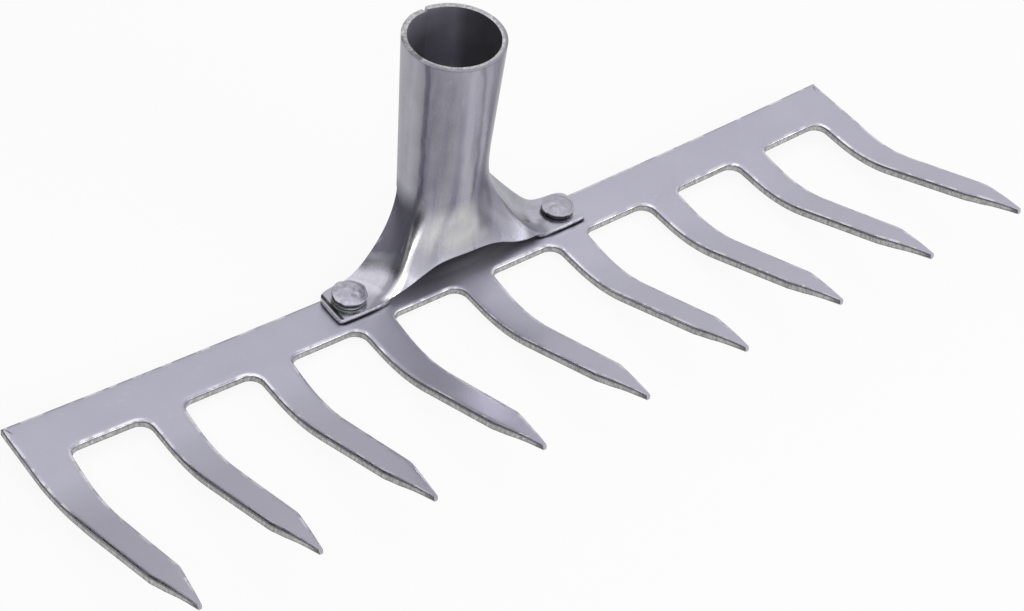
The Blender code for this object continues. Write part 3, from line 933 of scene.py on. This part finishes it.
# Stretches of the punched edge, which runs from 0 on the top face to 2 at the wall's foot
ROLL_EDGE = (0.1, 0.5, 0.85, 0.98)
WALL_EDGE = (0.9, 1.05)
TOP_SHADE_LINE_EDGE = (0.8, 1.0, 1.15, 1.4)
FOOT_SHADE_LINE_EDGE = (1.75, 1.95)


def comb_material(effects):
    """Satin lavender plate with rubbed rolls under painted glints, torn grey walls with painted shade lines,
    and painted shade under the socket, in front of its ears and towards its left.
    """
    metal = Metal("comb_steel", effects)
    x, y = metal.x, metal.y
    edge = metal.attribute("edge")
    cloud = metal.effect("mottle", Scale=55.0, Contrast=1.6)["Mask"]
    grain = metal.effect("grain", Scale=1500.0)
    torn = metal.effect("torn", Scale=900.0)
    marks = metal.effect("scratches", Stretch=(0.25, 1.0, 1.0), Scale=900.0, Amount=0.5)["Mask"]
    metal.colour = mix_colour(cloud, *PLATE)
    metal.tint(grain["Tone"], PLATE_GRAIN, 0.12)
    metal.tint(marks, PLATE_SCRATCH, 0.25)
    # Painted shade on the plate under the socket's arch, darkest close under it
    metal.tint(ellipse(x, y, *UNDER_SOCKET_SHADE_PATCH), UNDER_SOCKET_SHADE, 0.8)
    metal.tint(ellipse(x, y, *UNDER_SOCKET_DEEP_SHADE_PATCH), UNDER_SOCKET_DEEP_SHADE, 0.85)
    # Painted shade: the plate grows darker towards its left end, where less light falls
    metal.tint(x.ramp(*LEFT_SHADE_X), PLATE_LEFT_SHADE, 0.28)
    # Painted contact shadow on the plate along the front edge of each ear
    ear_y = EAR_FRONT_Y / MM
    ear_contact_shadow = y.band(ear_y - 0.7, ear_y - 0.3, ear_y + 2.0, ear_y + 3.0)
    metal.tint(ear_contact_shadow * abs(x).band(*EAR_SEAT_X), EAR_CONTACT_SHADOW, 0.75)
    # Darker along the strip's back edge
    metal.tint(y.ramp(BACK_Y / MM - 1.0, BACK_Y / MM - 0.5), BACK_EDGE_DARKENING, 0.5)
    # Rubbed rolls with a painted highlight: broken bright glints along the punched edges' rolls
    rubbed_and_glinting = edge.band(*ROLL_EDGE) * noise(metal.place, 150.0, 2.0, 0.5).ramp(0.47, 0.56)
    metal.tint(rubbed_and_glinting, ROLL_WEAR_AND_HIGHLIGHT, 0.7)
    wall = edge.ramp(*WALL_EDGE)
    metal.tint(wall, mix_colour(torn["Mask"], *TORN_WALL))
    # Painted dark reflection along the top of each wall and a painted shadow line at its foot
    lines = calc("MAXIMUM", edge.band(*TOP_SHADE_LINE_EDGE) * 0.65, edge.ramp(*FOOT_SHADE_LINE_EDGE) * 0.75)
    metal.tint(lines, WALL_SHADE_LINE)
    # The walls grow darker near the tines' points
    metal.tint(y.ramp(*TIP_Y) * wall, TIP_WALL_DARK, 0.7)
    roughness = rubbed_and_glinting.ramp(0.0, 1.0, cloud.ramp(0.0, 1.0, 0.33, 0.39), 0.2)
    height = grain["Height"] * (1.0 - wall) + torn["Height"] * 6.0 * wall
    return metal.finish(wall.ramp(0.0, 1.0, roughness, 0.52), height, 0.006 * MM)


# The socket's sheet outside

TUBE = ((0.17, 0.167, 0.2), (0.52, 0.512, 0.58))
PRESSED_FOOT = ((0.39, 0.385, 0.44), (0.48, 0.475, 0.53))
PRESSED_RIGHT = (0.58, 0.575, 0.64)
PRESSED_STREAK_AND_REFLECTION = (0.2, 0.195, 0.235)
PANEL_PAINTED_LIGHT = ((0.58, 0.58, 0.59), (0.79, 0.79, 0.775))
DARK_BAND = (0.17, 0.165, 0.2)
RIGHT_TOE_SHADE = (0.22, 0.22, 0.25)
LEFT_TOE = (0.3, 0.295, 0.34)
LEFT_WING_SHADE = (0.11, 0.108, 0.145)
EAR_DARK_PATCH = (0.16, 0.157, 0.19)
EAR_END_SHADOW_LINE = (0.012, 0.012, 0.015)
FOLD_HIGHLIGHT = (0.9, 0.9, 0.91)
RIGHT_FOLD_SHADE = (0.17, 0.167, 0.2)
RIM_SHADE = (0.24, 0.235, 0.275)
DRAW_LINE = (0.25, 0.25, 0.29)
SHEET_SCRATCH = (0.62, 0.62, 0.66)
SHEET_GRAIN = (0.27, 0.27, 0.31)

# Places of the sheet's marks in millimetres: patches by centre, reach and softness, bands by their ends
LEFT_X = (0.0, -4.0)
FOOT_Z = (44.0, 22.0)
PRESSED_RIGHT_X = (8.0, 16.0)
PANEL_PATCH = ((-3.5, 22.5), (17.0, 12.0), 0.6)
PANEL_Y = (4.0, 1.0)
DARK_BAND_X = (4.5, 6.5, 11.0, 13.5)
DARK_BAND_Y = (8.0, 5.0)
DARK_BAND_Z = (16.0, 20.0, 36.0, 50.0)
RIGHT_TOE_X = (25.0, 28.0, 35.0, 38.0)
RIGHT_TOE_Y = (1.0, -1.0)
LEFT_TOE_X = (-37.0, -35.0, -27.0, -23.0)
LEFT_TOE_Y = (-1.0, -2.5)
WING_SHADE_FOOT_Z = (11.5, 15.5)
WING_SHADE_TOP_Z = (37.0, 29.0)
WING_SHADE_RAGGEDNESS = 4.0
EAR_DARK_PATCH_PLACE = ((37.0, 0.5), (2.8, 2.2), 0.7)
EAR_END_SHADOW_X = (-53.0, -52.6, -51.8, -51.3)
FOLD_HIGHLIGHT_X = (-36.0, -32.0)
FOLD_HIGHLIGHT_Z = (27.0, 21.0)
RIGHT_FOLD_SHADE_X = (17.0, 20.0, 30.0, 33.0)
RIM_SHADE_Z = (94.4, 94.9)

# Painted reflection bands round the tube: angle from its front, half width in degrees, and how much lighter
TUBE_REFLECTION_BANDS = (
    (-88, 17, 0.2), (-63, 3.5, -0.45), (-12, 11, 0.4), (0, 2.5, -0.25), (8, 5, 0.35), (26, 13, -0.08))


def tube_tone(x, y, z, streaks, cloud):
    """How light the tube is round about: the painted reflection bands, which wander and lean a little, and
    the streaks.
    """
    wander = noise(combine(z.tree, z * MM), 60.0) - 0.5
    turned = (calc("ARCTAN2", x, SOCKET_AXIS_Y / MM - y) + wander * 0.2) * math.degrees(1.0)
    turned = turned - z.ramp(95.0, 55.0, 0.0, 9.0) * turned.ramp(-50.0, -20.0)
    tone = (streaks - 0.5) * 0.3 + 0.58
    for middle, half, lighter in TUBE_REFLECTION_BANDS:
        tone = tone + abs(turned - middle).ramp(half * 1.3, half * 0.5, 0.0, lighter)
    return tone + (cloud - 0.5) * 0.15


def socket_material(effects):
    """Streaked drawn sheet with painted reflection bands and a painted highlight on its left fold, lighter at
    its foot but for painted shade on the left wing.
    """
    metal = Metal("socket_steel", effects)
    x, y, z = metal.x, metal.y, metal.z
    turn = calc("ARCTAN2", x, SOCKET_AXIS_Y / MM - y)
    rolled = combine(metal.tree, turn * RIM_RADIUS, 0.0, z * (0.12 * MM))
    streaks = metal.effect("mottle", Vector=rolled, Scale=210.0, Contrast=2.2)["Mask"]
    lines = metal.effect("mottle", Vector=rolled, Scale=900.0, Contrast=1.8)["Mask"]
    cloud = metal.effect("mottle", Scale=120.0, Contrast=2.0)["Mask"]
    grain = metal.effect("grain", Scale=1300.0)
    scratches = metal.effect("scratches", Vector=rolled, Stretch=(1.0, 1.0, 1.2), Scale=1200.0, Amount=0.7)
    fold = metal.attribute("fold")
    wing = metal.attribute("wing")
    left = x.ramp(*LEFT_X)
    foot = z.ramp(*FOOT_Z)
    tone = tube_tone(x, y, z, streaks, cloud)

    metal.colour = mix_colour(cloud, *PRESSED_FOOT)
    metal.tint(x.ramp(*PRESSED_RIGHT_X), PRESSED_RIGHT, 0.25)
    # The pressed foot is darker where the streaks and the painted reflection bands are dark
    metal.tint(tone.ramp(0.55, 0.2), PRESSED_STREAK_AND_REFLECTION, 0.6)
    pressed = metal.colour
    metal.colour = mix_colour(tone, *TUBE)
    metal.tint(foot, pressed)

    # Painted light: a soft lighter patch on the front panel, as if lit
    lit_panel = ellipse(x, z, *PANEL_PATCH) * y.ramp(*PANEL_Y)
    metal.tint(lit_panel, mix_colour(cloud, *PANEL_PAINTED_LIGHT), 0.85)
    dark_band = x.band(*DARK_BAND_X) * z.band(*DARK_BAND_Z) * y.ramp(*DARK_BAND_Y)
    metal.tint(dark_band, DARK_BAND, 0.6)
    # Painted shade on the right toe, which dims a lamp's highlight there
    right_toe_shade = x.band(*RIGHT_TOE_X) * y.ramp(*RIGHT_TOE_Y)
    metal.tint(right_toe_shade, RIGHT_TOE_SHADE, 0.75)
    # Painted shade and dark reflection on the left wing, with a ragged lower edge
    ragged = (cloud - 0.5) * WING_SHADE_RAGGEDNESS + z
    scale = wing.ramp(0.15, 0.45) * left * ragged.ramp(*WING_SHADE_FOOT_Z) * z.ramp(*WING_SHADE_TOP_Z)
    metal.tint(scale, LEFT_WING_SHADE, 0.85)
    # A darker patch on the right ear, left of its rivet
    metal.tint(ellipse(x, y, *EAR_DARK_PATCH_PLACE), EAR_DARK_PATCH, 0.5)
    # Painted shadow line across the left ear near its end
    metal.tint(x.band(*EAR_END_SHADOW_X), EAR_END_SHADOW_LINE)
    left_toe = x.band(*LEFT_TOE_X) * y.ramp(*LEFT_TOE_Y) * fold.ramp(0.7, 0.4)
    metal.tint(left_toe, LEFT_TOE, 0.6)
    # Painted highlight along the left wing's fold
    fold_highlight = fold.ramp(0.48, 0.75) * left * z.ramp(*FOLD_HIGHLIGHT_Z) * x.ramp(*FOLD_HIGHLIGHT_X)
    metal.tint(fold_highlight, FOLD_HIGHLIGHT, 0.85)
    # Painted shade along the right wing's fold
    metal.tint(fold.ramp(0.6, 0.8) * x.band(*RIGHT_FOLD_SHADE_X), RIGHT_FOLD_SHADE, 0.55)
    axis_y = SOCKET_AXIS_Y / MM
    # Painted shade on the outer face just below the rim, at the front
    metal.tint(z.ramp(*RIM_SHADE_Z) * y.ramp(axis_y + 2.0, axis_y - 8.0), RIM_SHADE, 0.6)
    metal.tint(lines, DRAW_LINE, 0.16)
    metal.tint(scratches["Mask"], SHEET_SCRATCH, 0.3)
    metal.tint(grain["Tone"], SHEET_GRAIN, 0.1)

    roughness = (cloud * foot).ramp(0.0, 1.0, streaks.ramp(0.0, 1.0, 0.24, 0.34), 0.22)
    rough = calc("MAXIMUM", scale, calc("MAXIMUM", right_toe_shade, left_toe))
    height = grain["Height"] + lines * 0.8 + streaks * 3.0
    return metal.finish(rough.ramp(0.0, 1.0, roughness, 0.6), height, 0.01 * MM)


# The socket's sheet inside

INSIDE = ((0.36, 0.347, 0.415), (0.48, 0.467, 0.545))
INSIDE_TOP = (0.16, 0.155, 0.19)
INSIDE_RIGHT_SHADE = (0.10, 0.098, 0.112)
INSIDE_LOW_DARK = (0.2, 0.2, 0.19)
INSIDE_TOP_Z = (72.0, 92.0)
INSIDE_RIGHT_X = (9.5, 12.5)
INSIDE_LOW_Z = (60.0, 22.0)


def inside_material(effects):
    """The socket's unpolished inside, darker and greyer low down, darker under its rim, and in painted shade
    on its right.
    """
    metal = Metal("socket_inside", effects)
    cloud = metal.effect("mottle", Scale=140.0, Contrast=1.8)["Mask"]
    grain = metal.effect("grain", Scale=1100.0)
    metal.colour = mix_colour(cloud, *INSIDE)
    metal.tint(metal.z.ramp(*INSIDE_TOP_Z), INSIDE_TOP, 0.6)
    # Painted shade on the inside's right, which the light doesn't reach
    metal.tint(metal.x.ramp(*INSIDE_RIGHT_X), INSIDE_RIGHT_SHADE, 0.75)
    # The inside grows darker and greyer low down
    metal.tint(metal.z.ramp(*INSIDE_LOW_Z), INSIDE_LOW_DARK, 0.6)
    metal.shader.inputs["Metallic"].default_value = 0.75
    return metal.finish(cloud.ramp(0.0, 1.0, 0.45, 0.6), grain["Height"], 0.02 * MM)


# The socket's sheared edges

CUT = ((0.36, 0.36, 0.375), (0.66, 0.66, 0.68))
CUT_CLOUD = (0.24, 0.24, 0.25)
BRIGHT_CUT_AND_HIGHLIGHT = ((0.64, 0.64, 0.67), (0.97, 0.97, 0.98))
RIM_OUTER_SHADE = (0.26, 0.255, 0.30)
RIM_LEFT_DARK = (0.17, 0.17, 0.18)
EAR_FOOT_SHADOW = (0.04, 0.04, 0.05)
RIM_Z = (85.0, 90.0)
RIM_LEFT_X = (-5.0, -16.0)
EAR_EDGE_X = (34.0, 38.0)


def cut_edge_material(effects):
    """The sheared rim and edges of the socket's sheet, with painted highlights on the ears' edges and painted
    shade on the rim's outer side and at the ears' foot.
    """
    metal = Metal("socket_cut_edge", effects)
    x, y, z = metal.x, metal.y, metal.z
    axis_y = SOCKET_AXIS_Y / MM
    torn = metal.effect("torn", Scale=700.0)
    cloud = metal.effect("mottle", Scale=260.0, Contrast=2.4)["Mask"]
    rim = z.ramp(*RIM_Z)
    ear = abs(x).ramp(*EAR_EDGE_X)
    metal.colour = mix_colour(torn["Mask"], *CUT)
    metal.tint(cloud, CUT_CLOUD, 0.35)
    # Burnished ear edges brightened by a painted highlight
    metal.tint(ear, mix_colour(torn["Mask"], *BRIGHT_CUT_AND_HIGHLIGHT))
    # Painted shade on the rim's outer side at the front, standing in for its rounded edge
    outer = distance(x, y - axis_y).ramp(RIM_RADIUS / MM - 1.5, RIM_RADIUS / MM - 1.1)
    metal.tint(outer * rim * y.ramp(axis_y + 4.0, axis_y - 6.0), RIM_OUTER_SHADE, 0.95)
    # The rim is darker and blotchy on its left
    metal.tint(x.ramp(*RIM_LEFT_X) * rim * cloud.ramp(0.2, 0.8), RIM_LEFT_DARK)
    # Painted shadow on the lower part of the ears' cut edges
    height = (noise(metal.place, 300.0) - 0.5) * 0.7 + z
    metal.tint(height.ramp(EAR_TOP / MM - 0.95, EAR_TOP / MM - 1.3) * ear, EAR_FOOT_SHADOW, 0.9)
    return metal.finish(torn["Mask"].ramp(0.0, 1.0, 0.5, 0.32), torn["Height"], 0.05 * MM)


# The rivets' steel

RIVET = ((0.38, 0.37, 0.43), (0.46, 0.45, 0.52))
RIVET_SCRATCH = (0.62, 0.62, 0.66)
RIVET_RIGHT_SHADE = (0.32, 0.31, 0.36)
RIVET_RING = (0.17, 0.17, 0.19)
SIDE_SHADOW_AND_STAIN = ((0.035, 0.035, 0.042), (0.36, 0.40, 0.35))
SIDE_LIT = (0.24, 0.24, 0.27)
SIDE_BURR = (0.66, 0.66, 0.68)
RING_REACH = (4.9, 5.1, 5.3, 5.5)


def rivet_material(effects):
    """Hammered rivet steel, rough in its dents, with painted shadow on its side and a greenish oil stain low
    on its side.
    """
    metal = Metal("rivet_steel", effects)
    x, y, z = metal.x, metal.y, metal.z
    blows = metal.effect("mottle", Scale=520.0, Contrast=2.6)["Mask"]
    marks = metal.effect("scratches", Stretch=(1.0, 0.6, 1.0), Scale=1600.0, Amount=0.9)["Mask"]
    metal.colour = mix_colour(blows, *RIVET)
    metal.tint(marks, RIVET_SCRATCH, 0.4)
    metal.tint(x.ramp(-1.0, 1.0), RIVET_RIGHT_SHADE, 0.4)
    left = x.ramp(1.0, -1.0)
    off_x = x - x.ramp(-1.0, 1.0, -RIVET_LEFT_X / MM, RIVET_RIGHT_X / MM)
    reach = distance(off_x, y - EAR_CENTRE_Y / MM) + blows * 0.3
    metal.tint(reach.band(*RING_REACH) * off_x.ramp(0.5, 3.0), RIVET_RING, 0.6)
    # Painted shadow on the heads' sides, darkest up under the head's edge; the left head's side gets a
    # greenish stain low down and a painted lit part right of its middle
    low = (z + blows * 0.8).ramp(EAR_TOP / MM + 1.9, EAR_TOP / MM + 1.3) * left
    burrs = metal.effect("torn", Scale=1400.0)["Mask"].ramp(0.45, 0.75) * off_x.ramp(0.0, 2.0)
    shadow_and_stain = mix_colour(low, *SIDE_SHADOW_AND_STAIN)
    shadow_and_stain = mix_colour(off_x.ramp(-0.5, 1.5) * left * 0.8, shadow_and_stain, SIDE_LIT)
    metal.tint(metal.attribute("side"), mix_colour(burrs, shadow_and_stain, SIDE_BURR), 0.92)
    height = blows * 5.0 + metal.effect("grain", Scale=1800.0)["Height"]
    return metal.finish(blows.ramp(0.0, 1.0, 0.5, 0.34), height, 0.02 * MM)


# Studio

WORLD_LIGHT = 0.6
MATT_ROUGHNESS = 0.9
FLOOR_HALF_SIZE = 3.0
FLOOR_COLOUR = (0.9, 0.9, 0.9, 1.0)
SCREEN_COLOUR = (0.03, 0.03, 0.035, 1.0)
SCREEN_RADIUS = 1.1
SCREEN_HEIGHT = 0.75
SCREEN_TURNS = (86.0, 232.0)
SCREEN_STEPS = 24
CAMERA_LENS = 87.19
CAMERA_SENSOR = 36.0
CAMERA_NEAR = 0.01
CAMERA_PLACE = (-0.40347, -0.49016, 0.61242)
CAMERA_TURN = (45.096, -5.412, -35.965)

# Name, place, the point it faces, width and height, and power
LIGHTS = (
    ("overhead_softbox", (0.12, 0.3, 1.2), (0, 0, 0), (0.9, 0.9), 1.6),
    ("front_softbox", (0.55, -1.0, 0.3), (0, 0, 0.02), (0.8, 0.5), 6.0),
    ("camera_side_lamp", (-0.48, -0.69, 0.45), (0, 0, 0.02), (0.2, 0.34), 1.3),
    ("neck_lamp", (-0.62, -0.10, 0.85), (0, 0, 0.02), (0.8, 0.7), 0.8))


def background_share(tree, seen=1.0, mirrored=1.0):
    """How much of the white background a ray shows: what the camera sees, and what metal mirrors."""
    camera, glossy, through = [
        put(tree, "ShaderNodeLightPath", output=name)
        for name in ("Is Camera Ray", "Is Glossy Ray", "Is Transmission Ray")]
    return calc("MAXIMUM", camera * seen, calc("MAXIMUM", glossy, through) * mirrored)


def new_matt(name, colour):
    material = bpy.data.materials.new(name)
    material.use_nodes = True
    shader = material.node_tree.nodes["Principled BSDF"]
    shader.inputs["Base Color"].default_value = colour
    shader.inputs["Roughness"].default_value = MATT_ROUGHNESS
    return material


def add_stage(name, mesh, material):
    """A surface of the studio, which isn't part of the rake."""
    mesh.materials.append(material)
    surface = new_object(name, mesh)
    return surface


def make_dark_screen():
    """A curved upright dark screen outside the picture, which gives the steel its dark sides."""
    shape = bmesh.new()
    angles = [math.radians(mix(*SCREEN_TURNS, i / SCREEN_STEPS)) for i in range(SCREEN_STEPS + 1)]
    places = [(SCREEN_RADIUS * math.cos(angle), SCREEN_RADIUS * math.sin(angle)) for angle in angles]
    heights = (0.0, SCREEN_HEIGHT)
    join_rows(shape, [[shape.verts.new((x, y, height)) for x, y in places] for height in heights])
    cloth = new_matt("screen_cloth", SCREEN_COLOUR)
    screen = add_stage("left_screen", mesh_from(shape, "left_screen"), cloth)
    screen.visible_camera = False


def make_floor():
    low = min(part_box("rivet_left")[0][2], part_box("rivet_right")[0][2])
    mesh = bpy.data.meshes.new("floor")
    size = FLOOR_HALF_SIZE
    corners = [(-size, -size, low), (size, -size, low), (size, size, low), (-size, size, low)]
    mesh.from_pydata(corners, [], [(0, 1, 2, 3)])
    material = new_matt("pale_floor", FLOOR_COLOUR)
    tree = material.node_tree
    white = put(tree, "ShaderNodeEmission", {"Color": (1, 1, 1, 1), "Strength": 1.0})
    blend = put(tree, "ShaderNodeMixShader", {
        0: background_share(tree, seen=0.9, mirrored=0.3), 1: Value(tree.nodes["Principled BSDF"].outputs[0]),
        2: white})
    plug(tree.nodes["Material Output"].inputs["Surface"], blend)
    add_stage("floor", mesh, material)


def make_light(name, place, aim, size, power):
    data = bpy.data.lights.new(name, "AREA")
    data.shape = "RECTANGLE"
    data.size, data.size_y = size
    data.energy = power
    lamp = new_object(name, data)
    lamp.location = place
    lamp.rotation_euler = (Vector(place) - Vector(aim)).to_track_quat("Z", "Y").to_euler()


def make_camera():
    lens = bpy.data.cameras.new("camera")
    lens.lens = CAMERA_LENS
    lens.sensor_width = CAMERA_SENSOR
    lens.clip_start = CAMERA_NEAR
    camera = new_object("camera", lens)
    camera.location = CAMERA_PLACE
    camera.rotation_euler = [math.radians(angle) for angle in CAMERA_TURN]
    bpy.context.scene.camera = camera


def make_studio():
    world = bpy.data.worlds.new("studio")
    bpy.context.scene.world = world
    world.use_nodes = True
    background = world.node_tree.nodes["Background"]
    background.inputs["Color"].default_value = (1.0, 1.0, 1.0, 1.0)
    plug(background.inputs["Strength"], background_share(world.node_tree) * (1.0 - WORLD_LIGHT) + WORLD_LIGHT)
    make_floor()
    make_dark_screen()
    for light in LIGHTS:
        make_light(*light)
    make_camera()
    bpy.context.scene.view_settings.view_transform = "Standard"


effects = {
    "mottle": cloudy_mottle(), "scratches": handling_scratches(), "grain": steel_grain(), "torn": torn_edge()}
make_comb(comb_material(effects))
make_socket(socket_material(effects), inside_material(effects), cut_edge_material(effects))
make_rivets(rivet_material(effects))
make_studio()
